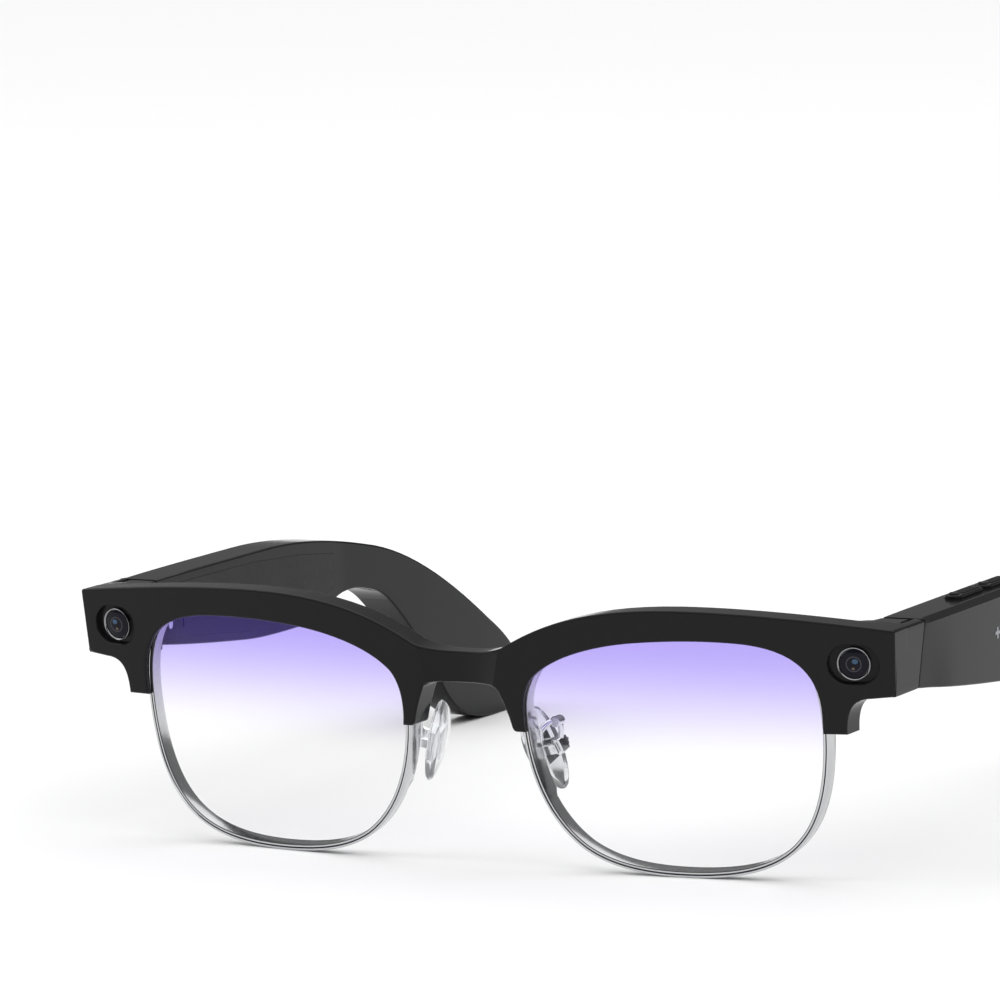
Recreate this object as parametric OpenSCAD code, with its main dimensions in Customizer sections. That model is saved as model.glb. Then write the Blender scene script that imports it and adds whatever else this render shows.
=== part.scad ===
/* [Front] */
// Half width across the end pieces
end_x = 74.5; // [70:0.5:78]
// Plan radius that wraps the front round the face
wrap_r = 363; // [340:1:400]
// Lean of the front, lower edge back, in degrees
lean = 7.3; // [6.5:0.1:8]
// Depth of the brow bar from front to back
brow_d = 5.5; // [5:0.1:6]
// Depth of the concave dip in the bridge
bridge_dip = 1.6; // [0:0.1:2]

/* [Rims and lenses] */
// Width of the metal rim seen from the front
rim_w = 1; // [1:0.1:1.2]
// Depth of the metal rim
rim_d = 3; // [2.8:0.1:3.2]
// Thickness of each lens
lens_t = 1.8; // [1.4:0.1:1.9]
// How far the lens edge sits in the rim groove
lens_bite = 0.4; // [0.3:0.1:0.5]

/* [Cameras] */
// Distance of each camera from the middle of the front
cam_x = 67.6; // [67:0.1:68]
// Height of each camera
cam_z = 36.2; // [35.8:0.1:36.6]
// Outer diameter of the camera ring
cam_d = 5.5; // [5:0.1:5.8]
// Width of the oval recess round the camera
recess_w = 8.5; // [8:0.1:9]
// Height of the oval recess round the camera
recess_h = 6.6; // [6.2:0.1:7]

/* [Hinges] */
// Distance of each hinge pin from the middle
hinge_x = 69.2; // [69:0.1:69.6]
// Hinge pin diameter
pin_d = 1.6; // [1.4:0.1:2]
// Outer diameter of the hinge knuckles
knuckle_d = 3.8; // [3.4:0.1:4]
// Running clearance on radius at the hinge pin
pin_gap = 0.03; // [0.01:0.01:0.1]

/* [Temples] */
// Thickness of the temple casing at its front
temple_t = 7.5; // [7.3:0.1:7.8]
// Wall thickness of the temple casing
wall = 1.4; // [1.2:0.1:1.6]
// Inner cover thickness
cover_t = 1.2; // [1:0.1:1.3]

/* [Buttons] */
// Length of each top button
button_l = 11.5; // [10:0.5:12]
// Width of each top button
button_w = 3; // [2.6:0.1:3.2]
// Height of a button above the temple
button_h = 0.7; // [0.4:0.1:0.9]
// Button travel
button_travel = 0.3; // [0.2:0.05:0.35]

/* [Nose pads] */
// Height of a nose pad
pad_h = 15.8; // [14:0.2:16.4]
// Width of a nose pad
pad_w = 7.8; // [7:0.2:8]
// Thickness of a nose pad
pad_t = 2.2; // [2:0.1:2.6]
// Angle by which the pads open towards the face
pad_splay = 13; // [10:1:16]

/* [Hidden] */
$fn = 48;

// Resting frame: the origin is under the middle of the whole glasses
front_y = 0.6;                      // foremost point of the front before centring
back_y = 155.3;                     // rearmost point of the ear tips before centring
mid_y = (front_y + back_y) / 2;
lean_z = 43.8;                      // height of the line that the front leans about
front_drop = 0.36;                  // lowers the leaned front until the rims touch z = 0
eps = 0.05;                         // assembly clearance between fixed pieces
cut = 1;                            // overshoot of a cutting body

// Cubic curve through p0 and p3, pulled towards p1 and p2
function bez(p0, p1, p2, p3, n = 12) = [for (i = [1:n]) let (t = i / n, u = 1 - t)
  u * u * u * p0 + 3 * u * u * t * p1 + 3 * u * t * t * p2 + t * t * t * p3];
function flip(pts) = [for (i = [len(pts) - 1:-1:0]) [-pts[i].x, pts[i].y]];
function unit(v) = v / norm(v);
function left_of(v) = [-v.y, v.x];
// Closed outline moved sideways by d, along the normal at each point
function grown(pts, d) = [for (i = [0:len(pts) - 1])
  let (a = pts[(i + len(pts) - 1) % len(pts)], b = pts[(i + 1) % len(pts)])
  pts[i] + d * left_of(unit(b - a))];
// Open path given a width w
function edge(pts, d) = [for (i = [0:len(pts) - 1])
  let (a = pts[max(i - 1, 0)], b = pts[min(i + 1, len(pts) - 1)])
  pts[i] + d * left_of(unit(b - a))];
function back_to_front(pts) = [for (i = [len(pts) - 1:-1:0]) pts[i]];
function ribbon(pts, w) = concat(edge(pts, w / 2), back_to_front(edge(pts, -w / 2)));

// Outline of the brow seen from the front as [x, z], cut level from front to back
brow_half = concat(
  [[0, 36.3]],
  bez([0, 36.3], [3, 36.3], [5.5, 36.4], [8, 37.4]),
  bez([8, 37.4], [14.5, 41.1], [22, 44.6], [38, 44.8], 18),
  bez([38, 44.8], [50, 44.9], [63, 43.7], [end_x, 42.4], 18),
  [[end_x - 0.5, 32.4]],
  bez([end_x - 0.5, 32.4], [end_x - 0.6, 31.7], [end_x - 1, 31.5], [end_x - 1.7, 31.4], 5),
  [[70, 31.1]],
  bez([70, 31.1], [66.8, 31], [65.9, 28.9], [65.8, 25.1]),
  [[61.9, 25.1], [61.9, 28.1]],
  bez([61.9, 28.1], [61.9, 34.5], [58.5, 38.6], [50, 39.5]),
  bez([50, 39.5], [44, 40], [37, 39.8], [30, 39]),
  bez([30, 39], [23, 38.1], [16.3, 35.9], [13, 32.6]),
  bez([13, 32.6], [11.4, 30.9], [10.6, 27.5], [11.2, 23.4], 8),
  [[9.9, 23.4]],
  bez([9.9, 23.4], [9.3, 23.4], [9.1, 23.6], [8.9, 24.2], 4),
  bez([8.9, 24.2], [8.5, 26], [7.8, 28], [6.9, 30], 6),
  bez([6.9, 30], [6.4, 30.9], [5.4, 31], [4, 31], 6),
  [[0, 31]]);
brow_outline = concat(brow_half, [for (p = flip(brow_half)) if (p.x != 0) p]);
// Visible edge of a lens, which is the inner edge of its rim, in the leaning plane of the front
lens_edge = concat(
  bez([11.2, 25], [11.4, 17], [14, 9], [20.2, 4.5]),
  bez([20.2, 4.5], [24.8, 1.4], [31, 0.6], [38, 0.6]),
  bez([38, 0.6], [46, 0.6], [52.8, 2], [56.6, 6.8]),
  bez([56.6, 6.8], [60, 10.8], [61.3, 17.5], [61.4, 25]),
  bez([61.4, 25], [61.4, 34.5], [58.5, 40], [48, 40.2]),
  bez([48, 40.2], [40, 40.4], [33, 40.3], [26, 39.2]),
  bez([26, 39.2], [15.5, 37.4], [10.7, 33], [11.2, 25]));
// Middle of the cable channel in the brow
channel_half = concat(
  [[0, 33.6]],
  bez([0, 33.6], [4, 33.6], [7, 34.3], [10, 36.3], 8),
  bez([10, 36.3], [17, 40.5], [26, 42.6], [38, 42.7]),
  bez([38, 42.7], [48, 42.8], [57, 42.1], [63, 40.6]));
channel_path = concat(flip([for (p = channel_half) if (p.x > 0) p]), channel_half);
channel_w = 1.3;

// Depths measured back from the front surface
rim_y = 1.2;
lens_y = rim_y + (rim_d - lens_t) / 2;
flex_y = 3.9;
strip_y = 4.6;
block_x = 63.25;                    // the end pieces start here and are deeper than the bar
leg_back = 8.1;                     // rear face of an outer leg at its foot
leg_taper = 19;                     // degrees by which an outer leg thickens upwards
corner_r = 0.6;                     // outer front corners, seen from above
plate_d = 0.9;                      // extra depth of a rim where its nose arm is fixed
plate_low = 12.5;                   // lower end of that deeper stretch
cover_y = 6.2;                      // cover behind the camera
dip_r = 18.85;                      // radius of the concave bridge face

// Hinge, seen from above
hinge_y = 18.1;
seam_y = 19.6;                      // rear edge of the end piece on its outer side
seam_z = 37;                        // height at which the leaning seam is at seam_y
seam_lean = 11;                     // degrees
seam_gap = 0.15;
nose_r = 2.6;                       // round end of the temple about the pin
block_y = hinge_y - 2.6;             // rear face of the end piece beside the hinge
knuckle_z = [32.4, 34.5, 38.9, 41];
knuckle_gap = 0.1;
leaf_x = 71.4;
leaf_t = 1;
leaf_screw_y = hinge_y - 4;
cover_screw_y = 25.4;
leaf_screw_z = [34.2, 39.2];

// Side outline of a temple, as [y, z]
temple_top = concat(
  bez([seam_y, 42.5], [32, 42.6], [46, 42.6], [60, 42.6]),
  bez([60, 42.6], [72, 42.6], [85, 41], [97, 38.5]));
temple_low = concat(
  [[105, 27.2]],
  bez([105, 27.2], [101, 30], [96, 31], [91, 31]),
  bez([91, 31], [84, 31], [80, 27], [71, 27]),
  bez([71, 27], [63, 27], [57, 27], [50, 27.8]),
  bez([50, 27.8], [38, 29], [28, 30.2], [seam_y, 31.5]));
tip_outline = concat(
  bez([97, 38.5], [112, 35.8], [127, 28.3], [143, 18.3]),
  bez([143, 18.3], [150, 14.3], [back_y, 10.3], [back_y, 6], 8),
  bez([back_y, 6], [back_y, 2], [152.5, 0], [148.5, 0], 8),
  bez([148.5, 0], [138, 0], [130, 1], [124.5, 8], 8),
  bez([124.5, 8], [120.5, 13], [113, 21.5], [105, 27.2], 8));
temple_outline = concat([[seam_y - 2.5, 42.4], [seam_y, 42.5]], temple_top, tip_outline, temple_low,
  [[seam_y - 2.5, 31.7]]);
// Plan outline of the left temple, as [x, y]
inner_x = end_x - temple_t;
temple_plan = concat(
  [[inner_x, seam_y - 4], [end_x, seam_y - 4], [end_x, seam_y]],
  bez([end_x, seam_y], [75.1, 30], [75.1, 65], [74.4, 85]),
  bez([74.4, 85], [73.4, 105], [71.4, 128], [70, back_y + cut]),
  [[65.1, back_y + cut]],
  bez([65.1, back_y + cut], [65.1, 135], [66.2, 112], [inner_x, 88]));
// Room inside the casing, as [y, z]
room = [[seam_y - 4, 32.1], [31, 31.4], [48, 29.5], [58, 28.5], [71, 28.6], [79, 30.6], [85, 32.6],
  [85, 38.4], [72, 39.9], [55, 40.9], [35, 41], [seam_y - 4, 41]];
room_x = end_x - wall;
tip_y = 105;                        // where the ear tip starts
spigot_l = 6;
slope = 32;                         // fall of the ear tip, degrees
cell_w = 6;
cell_l = 24;
cell_t = 2.4;
cell_x = 70;                        // middle of the spigot at its root
cell_z = 33.4;
cell_yaw = 3.3;                     // inward turn of the ear tip, degrees
wire_r = 0.7;

// Buttons on the top of the left temple
button_y = [41, 53.4];
button_x = 70.4;
button_top = 42.55;
button_gap = 0.12;
flange = 0.5;
flange_z = 40.3;
board_z = 38;
switch_z = 39.2;

// Nose pad
pad_at = [10.7, 12.4, 19.5];
pad_turn = [17, -18.5, 0];          // a pad's top leans forwards and towards the nose
core_t = 0.8;
screw_r = 0.4;
pivot_x = -2.25;                    // screw of a pad, behind its back face
arm_path = [[11, 8.5, 22.2], [11.6, 9.8, 23.8], [12.9, 11.2, 24.1], [13.4, 11.8, 23.2],
  [13.3, 11.7, 21.6], [13.2, 11.7, 20.5]];

module centred() translate([0, -mid_y, 0]) children();
module leaning()
  translate([0, 0, lean_z - front_drop]) rotate([lean, 0, 0]) translate([0, 0, -lean_z]) children();
module leaned() centred() leaning() children();
// s = 1 is the wearer's left, s = -1 its mirror image
module side(s) mirror([s > 0 ? 0 : 1, 0, 0]) children();

// Prism through the front outline, from y = 0 to the back of the end pieces
module through_front(pts) translate([0, 30, 0]) rotate([90, 0, 0]) linear_extrude(40) polygon(pts);
// Curved layer of the front between two depths
module layer(y0, y1) translate([0, wrap_r, -10]) difference() {
  cylinder(r = wrap_r - y0, h = 70, $fn = 200);
  translate([0, 0, -cut]) cylinder(r = wrap_r - y1, h = 70 + 2 * cut, $fn = 200);
}
module side_prism(pts, x0, x1) translate([x0, 0, 0]) rotate([90, 0, 90])
  linear_extrude(x1 - x0) polygon(pts);
module slot(l, w, h) {
  translate([-(l - w) / 2, 0, 0]) cylinder(d = w, h = h);
  translate([(l - w) / 2, 0, 0]) cylinder(d = w, h = h);
  translate([-(l - w) / 2, -w / 2, 0]) cube([l - w, w, h]);
}
module pin_x(r, l) rotate([0, 90, 0]) cylinder(r = r, h = l);
module pin_y(r, l) rotate([-90, 0, 0]) cylinder(r = r, h = l);
// A place on the front surface, turned square to it, local -y outwards
module on_front(x, z) translate([x, wrap_r - sqrt(wrap_r * wrap_r - x * x), z])
  rotate([0, 0, asin(x / wrap_r)]) children();

module brow_frame() color("#17181b") centred() difference() {
  intersection() {
    through_front(brow_outline);
    leaning() intersection() {
      translate([0, wrap_r, -10]) cylinder(r = wrap_r, h = 70, $fn = 200);
      translate([-end_x, -1, -10]) plan_block();
    }
  }
  leaning() {
    difference() {
      translate([0, wrap_r, -11]) cylinder(r = wrap_r - brow_d, h = 72, $fn = 200);
      for (s = [-1, 1]) translate([s > 0 ? block_x : -end_x - 5, -cut, -12])
        cube([end_x + 5 - block_x, 40, 75]);
    }
    translate([0, bridge_dip - dip_r, 0]) cylinder(r = dip_r, h = 60, $fn = 96);
    for (s = [-1, 1]) side(s) {
      intersection() {
        through_front(grown(lens_edge, -rim_w - eps));
        layer(rim_y - eps, 30);
        translate([0, -5, -5]) cube([block_x + eps, 30, 60]);
      }
      translate([block_x - cut, leg_back, 23]) rotate([-leg_taper, 0, 0]) cube([5, 30, 8]);
      on_front(cam_x, cam_z) camera_room();
    }
    intersection() {
      through_front(ribbon(channel_path, channel_w));
      layer(flex_y - eps, 20);
    }
  }
  for (s = [-1, 1]) side(s) hinge_relief();
}
module plan_block() linear_extrude(70) polygon(concat(
  [for (a = [180:15:270]) [corner_r + corner_r * cos(a), 8.6 + corner_r * sin(a)]],
  [[30, -5], [2 * end_x - 30, -5]],
  [for (a = [270:15:360]) [2 * end_x - corner_r + corner_r * cos(a), 8.6 + corner_r * sin(a)]],
  [[2 * end_x, seam_y + 5], [0, seam_y + 5]]));
// Everything behind (gap > 0) or before the leaning seam, at one side
module behind_seam(gap) translate([60, seam_y + gap, seam_z]) rotate([-seam_lean, 0, 0])
  translate([0, 0, -30]) cube([20, 20, 60]);
module before_seam() translate([60, seam_y, seam_z]) rotate([-seam_lean, 0, 0])
  translate([0, -20, -30]) cube([20, 20, 60]);
module hinge_relief() {
  translate([leaf_x - 20, block_y, 0]) cube([20 + leaf_t + 2 * eps, 20, 60]);
  translate([hinge_x, hinge_y, 0]) cylinder(r = nose_r + 0.15, h = 60);
  translate([leaf_x - eps, leaf_screw_y - 1.6, 32.2]) cube([leaf_t + 2 * eps, 20, 9]);
  behind_seam(-seam_gap);
  for (z = leaf_screw_z) {
    translate([leaf_x, leaf_screw_y, z]) pin_x(0.45, 2.2);
    translate([leaf_x - 1.6, leaf_screw_y, z]) pin_x(0.85, 1.6);
  }
}
module camera_room() {
  translate([0, 0.9, 0]) rotate([90, 0, 0]) slot(recess_w, recess_h, 5);
  pin_y(cam_d / 2 + eps, 5);
  translate([-3.3, 1.7, -3.3]) cube([6.6, 20, 6.6]);
  translate([-3.75, cover_y, -3.75]) cube([7.5, 20, 7.5]);
}
module brow_back_strip() color("#1b1c20") leaned() intersection() {
  through_front(ribbon(channel_path, channel_w - 2 * eps));
  layer(strip_y, brow_d);
}
module front_flex() color("#b8792a") leaned() intersection() {
  through_front(ribbon(channel_path, channel_w - 0.3));
  layer(flex_y, flex_y + 0.3);
}
module end_cover(s) color("#1b1c20") leaned() side(s) on_front(cam_x, cam_z)
  translate([-3.7, cover_y + eps, -3.7]) cube([7.4, 0.8, 7.4]);
module front_screws() color("#b9bcc2") for (s = [-1, 1]) {
  centred() side(s) for (z = leaf_screw_z) translate([leaf_x - 0.5, leaf_screw_y, z]) {
    pin_x(0.75, 0.5);
    pin_x(0.4, 2.4);
  }
}
module rim(s) color("#c9ccd1") leaned() side(s) difference() {
  intersection() {
    through_front(grown(lens_edge, -rim_w));
    layer(rim_y, rim_y + rim_d + plate_d);
  }
  difference() {
    translate([0, wrap_r, -11]) cylinder(r = wrap_r - rim_y - rim_d, h = 72, $fn = 200);
    translate([9, 0, plate_low]) cube([6, 30, 13.5]);
  }
  through_front(lens_edge);
  intersection() {
    through_front(grown(lens_edge, -lens_bite - eps));
    layer(lens_y - eps, lens_y + lens_t + eps);
  }
}
module lens(s) color("#a9a2ee", 0.5) leaned() side(s) intersection() {
  through_front(grown(lens_edge, -lens_bite));
  layer(lens_y, lens_y + lens_t);
}

module rod(a, b, r) translate(a)
  rotate([0, acos((b - a).z / norm(b - a)), atan2((b - a).y, (b - a).x)]) cylinder(r = r, h = norm(b - a));
module wire(pts, r) {
  for (i = [1:len(pts) - 1]) rod(pts[i - 1], pts[i], r);
  for (i = [1:len(pts) - 2]) translate(pts[i]) sphere(r = r + 0.03, $fn = 48);
}
module nose_arm(s) color("#c9ccd1") centred() side(s) {
  difference() {
    union() {
      wire(arm_path, 0.5);
      at_pad() translate([-3.5, -1.1, -1.3]) cube([1.7, 2.2, 2.6]);
      translate([13, 10.2, 24.1]) pin_y(0.95, 2.2);
      leaning() intersection() {
        translate([10.4, 0, 19.8]) cube([1.2, 30, 2.8]);
        layer(rim_y + rim_d + plate_d, rim_y + rim_d + plate_d + 0.8);
      }
    }
    at_pad() translate([pivot_x, -5, 0]) pin_y(screw_r + pin_gap, 10);
  }
}
module at_pad() translate(pad_at) rotate(pad_turn) rotate([0, 0, 180 - pad_splay]) children();
module nose_pad(s) color("#d9dde0", 0.6) centred() side(s) at_pad() difference() {
  intersection() {
    rotate([0, 90, 0]) translate([0, 0, 0]) linear_extrude(pad_t) polygon([for (a = [0:12:348])
      [pad_h / 2 * cos(a), pad_w / 2 * sin(a) * (1 + 0.12 * cos(a))]]);
    translate([pad_t - 24, 0, 0]) sphere(r = 24, $fn = 200);
  }
  translate([-cut, -1.9, -2.6]) cube([cut + core_t + eps, 3.8, 5.2]);
}
module pad_core(s) color("#c9ccd1") centred() side(s) at_pad() difference() {
  union() {
    translate([0, -1.5, -2.5]) cube([core_t, 3, 5]);
    for (y = [-1.8, 1.2]) translate([pivot_x - 0.7, y, -0.8]) cube([2.4 + core_t - 0.2, 0.6, 1.6]);
  }
  translate([pivot_x, -5, 0]) pin_y(screw_r, 10);
}
module pad_screw(s) color("#e3e5e8") centred() side(s) at_pad()
  translate([pivot_x, -1.85, 0]) {
    pin_y(screw_r, 3.7);
    translate([0, -0.3, 0]) pin_y(0.7, 0.3);
  }

module camera_ring(s) color("#d5d7da") leaned() side(s) on_front(cam_x, cam_z) difference() {
  translate([0, 0.35, 0]) pin_y(cam_d / 2, 1.3);
  pin_y(cam_d / 2 - 0.35, 5);
}
module camera_window(s) color("#0a0b10") leaned() side(s) on_front(cam_x, cam_z)
  translate([0, 0.55, 0]) pin_y(cam_d / 2 - 0.4, 0.6);
module camera_barrel(s) color("#26282c") leaned() side(s) on_front(cam_x, cam_z) difference() {
  translate([0, 1.2, 0]) pin_y(2.2, 2.2);
  translate([0, 1, 0]) pin_y(1.35, 0.8);
}
module camera_board(s) color("#1f5f3f") leaned() side(s) on_front(cam_x, cam_z) {
  translate([-3.1, 3.45, -3.1]) cube([6.2, 0.5, 6.2]);
  translate([-2.6, 3.95, -2.4]) cube([1.4, 0.6, 4.8]);
}

module knuckle(z0, z1) translate([hinge_x, hinge_y, z0]) cylinder(d = knuckle_d, h = z1 - z0);
module hinge_front(s) color("#8d9096") centred() side(s) difference() {
  union() {
    for (i = [0, 2]) {
      knuckle(knuckle_z[i], knuckle_z[i + 1]);
      translate([hinge_x, hinge_y - 1.9, knuckle_z[i]])
        cube([leaf_x + leaf_t - hinge_x - eps, 2.4, knuckle_z[1] - knuckle_z[0]]);
    }
    translate([leaf_x, leaf_screw_y - 1.4, knuckle_z[0]])
      cube([leaf_t - eps, 5.4, knuckle_z[3] - knuckle_z[0]]);
  }
  translate([hinge_x, hinge_y, 30]) cylinder(d = pin_d, h = 15);
  translate([hinge_x, hinge_y, knuckle_z[3] - 0.6]) cylinder(d = pin_d + 1, h = 2);
  for (z = leaf_screw_z) translate([leaf_x - cut, leaf_screw_y, z]) pin_x(0.42, 4);
}
module hinge_pin(s) color("#d5d7da") centred() side(s) translate([hinge_x, hinge_y, 0]) {
  translate([0, 0, knuckle_z[0]]) cylinder(d = pin_d, h = 8.6);
  translate([0, 0, knuckle_z[3] - 0.6]) cylinder(d = pin_d + 0.9, h = 0.5);
}
module hinge_rear(s) color("#8d9096") centred() side(s) difference() {
  union() {
    knuckle(knuckle_z[1] + knuckle_gap, knuckle_z[2] - knuckle_gap);
    translate([hinge_x - 0.9, hinge_y, knuckle_z[1] + knuckle_gap])
      cube([1, 6, knuckle_z[2] - knuckle_z[1] - 2 * knuckle_gap]);
    translate([hinge_x - 0.9, hinge_y + 4.6, 33.4]) cube([1, 5.6, 6.8]);
  }
  translate([hinge_x, hinge_y, 30]) cylinder(d = pin_d + 2 * pin_gap, h = 15);
  for (z = leaf_screw_z) translate([hinge_x - 3, cover_screw_y, z]) pin_x(0.42, 6);
}

module temple_solid(y0, y1) intersection() {
  side_prism(temple_outline, 60, 80);
  linear_extrude(60) polygon(temple_plan);
  translate([60, y0, -cut]) cube([20, y1 - y0, 60]);
}
module nose_disc(z0, z1) translate([hinge_x, hinge_y, z0]) {
  cylinder(r = nose_r, h = z1 - z0);
  translate([inner_x - hinge_x + 0.2, 0, 0]) cube([4.4, seam_y - hinge_y + 0.5, z1 - z0]);
}
// Box along the falling part of a temple, from y0 with length l, grown by g
module in_tip() translate([cell_x, tip_y - 3, cell_z]) rotate([0, 0, cell_yaw]) rotate([-slope, 0, 0])
  children();
module tip_box(y0, l, g) in_tip()
  translate([-cell_t / 2 - g, y0, -cell_w / 2 - g]) cube([cell_t + 2 * g, l, cell_w + 2 * g]);
module spigot() tip_box(0, spigot_l + 3, 0);
module temple_case(s) color("#17181b") centred() side(s) difference() {
  union() {
    difference() {
      temple_solid(seam_y - 3, tip_y);
      before_seam();
    }
    nose_disc(41.2, 42.4);
    nose_disc(31.4, 32.3);
    spigot();
  }
  side_prism(room, 60, room_x);
  for (z = leaf_screw_z) translate([60, cover_screw_y, z]) pin_x(0.3, room_x - 60 + 0.6);
  translate([cell_x, 84, 35.6]) rotate([-7, 0, 0]) pin_y(wire_r, 18.5);
  in_tip() translate([0, -1, 0]) pin_y(wire_r, spigot_l + 5);
  if (s > 0) {
    for (y = button_y) translate([button_x, y + button_l / 2, 40]) rotate([0, 0, 90])
      slot(button_l + 2 * button_gap, button_w + 2 * button_gap, 10);
    marks_solid(0.15);
  }
}
module cover_outline(x0, x1) intersection() {
  side_prism(grown(back_to_front(room), -eps), x0, x1);
  translate([60, hinge_y + 3.6, 0]) cube([20, 200, 60]);
}
module temple_cover(s) color("#1b1c20") centred() side(s) difference() {
  cover_outline(inner_x, inner_x + cover_t);
  for (z = leaf_screw_z) translate([60, cover_screw_y, z]) pin_x(0.42, 20);
  for (z = leaf_screw_z) translate([60, cover_screw_y, z]) pin_x(0.8, inner_x - 60 + 0.5);
  translate([60, 29.4, 33.2]) cube([20, 0.5, 1.6]);
  for (y = [60:2.4:72]) translate([60, y, 30.6]) cube([20, 1, 2.6]);
  if (s > 0) for (y = contact_y) translate([60, y, 36.4]) pin_x(0.95, 20);
}
contact_y = [34, 37, 40];
module temple_screws(s) color("#b9bcc2") centred() side(s) for (z = leaf_screw_z)
  translate([inner_x + 0.05, cover_screw_y, z]) {
    pin_x(0.75, 0.4);
    pin_x(0.28, room_x - inner_x + 0.3);
  }
module ear_tip(s) color("#1d1e22") centred() side(s) difference() {
  temple_solid(tip_y + eps, back_y + cut);
  tip_box(0, spigot_l + 3.4 + cell_l, eps);
}
module battery(s) color("#8f9aa6") centred() side(s) tip_box(spigot_l + 3.1, cell_l, -eps);
module main_board() color("#1f5f3f") centred() {
  translate([70.6, 28, 31.8]) cube([0.8, 28, 5.9]);
  translate([69.4, 31, 33]) cube([1.2, 7, 4.6]);
  translate([69.4, 44, 33]) cube([1.2, 9, 4.6]);
}
module radio_board() color("#1f5f3f") centred() side(-1) {
  translate([70.6, 28, 31.8]) cube([0.8, 28, 8]);
  translate([69.4, 31, 33]) cube([1.2, 9, 5.4]);
}
module speaker(s) color("#3a3c40") centred() side(s) {
  translate([69, 60, 29.9]) cube([3.6, 13.5, 7.6]);
  translate([68.6, 66.7, 33.7]) pin_x(3.4, 1);
}
module speaker_grille(s) color("#4a4c50") centred() side(s)
  for (y = [60:2.4:72]) translate([inner_x + 0.2, y + eps, 30.65]) cube([0.9, 0.9, 2.5]);
module microphone(s) color("#b9bcc2") centred() side(s) translate([inner_x + cover_t + 0.1, 28.6, 32.6])
  cube([1, 2.2, 2.8]);
module touch_film() color("#b8792a") centred()
  translate([room_x - 0.3, 46, 33]) cube([0.25, 30, 6]);
module marks_solid(g) {
  for (i = [0:9]) translate([74.1, 54 + 2 * i, 36]) rotate([90, 0, 90])
    translate([-0.25, -(2.4 - 0.2 * i) / 2, 0]) cube([0.5, 2.4 - 0.2 * i, 3]);
  translate([74.1, 49.2, 35.75]) cube([3, 1.9, 0.5]);
  translate([74.1, 49.9, 35.05]) cube([3, 0.5, 1.9]);
  translate([74.1, 75.6, 35.75]) cube([3, 1.9, 0.5]);
}
module volume_marks() color("#9a9ca2") centred() intersection() {
  marks_solid(0);
  temple_solid(seam_y, tip_y);
}
module charge_contacts() color("#c9a24a") centred()
  for (y = contact_y) translate([inner_x + 0.1, y, 36.4]) pin_x(0.9, 1.3);
module button_board() color("#1f5f3f") centred() {
  translate([68.6, button_y[0] + 0.5, board_z]) cube([3.8, button_y[1] + button_l - button_y[0] - 1, 0.6]);
  for (y = button_y) translate([button_x, y + button_l / 2, board_z + 0.6]) cylinder(r = 1.2, h = 0.6);
}
module button(y) {
  translate([button_x, y + button_l / 2, flange_z + 0.5]) rotate([0, 0, 90])
    slot(button_l, button_w, button_top + button_h - flange_z - 0.5);
  translate([button_x - button_w / 2 + 0.1, y + 1.5, flange_z - 0.5]) cube([button_w - 0.2, button_l - 3, 1]);
  translate([button_x, y + button_l / 2, switch_z + button_travel + 0.05])
    cylinder(r = 0.8, h = flange_z - switch_z - button_travel);
}
module front_button() color("#1d1e22") centred() {
  button(button_y[0]);
  translate([button_x, button_y[0] + 1.5, button_top]) cylinder(r = 0.9, h = button_h + 0.35);
}
module rear_button() color("#1d1e22") centred() difference() {
  union() {
    button(button_y[1]);
    translate([button_x, button_y[1] + 1.5, button_top]) cylinder(r = 0.9, h = button_h + 0.35);
  }
  light_bar(eps);
}
module light_bar(g) translate([button_x - 1.1 - g, button_y[1] + 4 - g, button_top + button_h - 0.4 - g])
  cube([0.6 + 2 * g, 5 + 2 * g, 0.4 + 2 * g]);
module status_light() color("#3f66ff") centred() light_bar(0);

brow_frame();
brow_back_strip();
front_flex();
end_cover(1);  // end_cover_left
end_cover(-1);  // end_cover_right
front_screws();
rim(1);  // rim_left
rim(-1);  // rim_right
lens(1);  // lens_left
lens(-1);  // lens_right
nose_arm(1);  // nose_arm_left
nose_arm(-1);  // nose_arm_right
nose_pad(1);  // nose_pad_left
nose_pad(-1);  // nose_pad_right
pad_core(1);  // pad_core_left
pad_core(-1);  // pad_core_right
pad_screw(1);  // pad_screw_left
pad_screw(-1);  // pad_screw_right
camera_ring(1);  // camera_ring_left
camera_ring(-1);  // camera_ring_right
camera_window(1);  // camera_window_left
camera_window(-1);  // camera_window_right
camera_barrel(1);  // camera_barrel_left
camera_barrel(-1);  // camera_barrel_right
camera_board(1);  // camera_board_left
camera_board(-1);  // camera_board_right
hinge_front(1);  // hinge_front_left
hinge_front(-1);  // hinge_front_right
hinge_pin(1);  // hinge_pin_left
hinge_pin(-1);  // hinge_pin_right
hinge_rear(1);  // hinge_rear_left
hinge_rear(-1);  // hinge_rear_right
temple_case(1);  // temple_case_left
temple_case(-1);  // temple_case_right
temple_cover(1);  // temple_cover_left
temple_cover(-1);  // temple_cover_right
temple_screws(1);  // temple_screws_left
temple_screws(-1);  // temple_screws_right
ear_tip(1);  // ear_tip_left
ear_tip(-1);  // ear_tip_right
battery(1);  // battery_left
battery(-1);  // battery_right
main_board();
radio_board();
speaker(1);  // speaker_left
speaker(-1);  // speaker_right
speaker_grille(1);  // speaker_grille_left
speaker_grille(-1);  // speaker_grille_right
microphone(1);  // microphone_left
microphone(-1);  // microphone_right
touch_film();
volume_marks();
charge_contacts();
button_board();
front_button();
rear_button();
status_light();
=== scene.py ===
import math
import bpy
import bmesh
import numpy as np
from mathutils import Matrix, Vector
from mathutils.geometry import delaunay_2d_cdt


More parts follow.
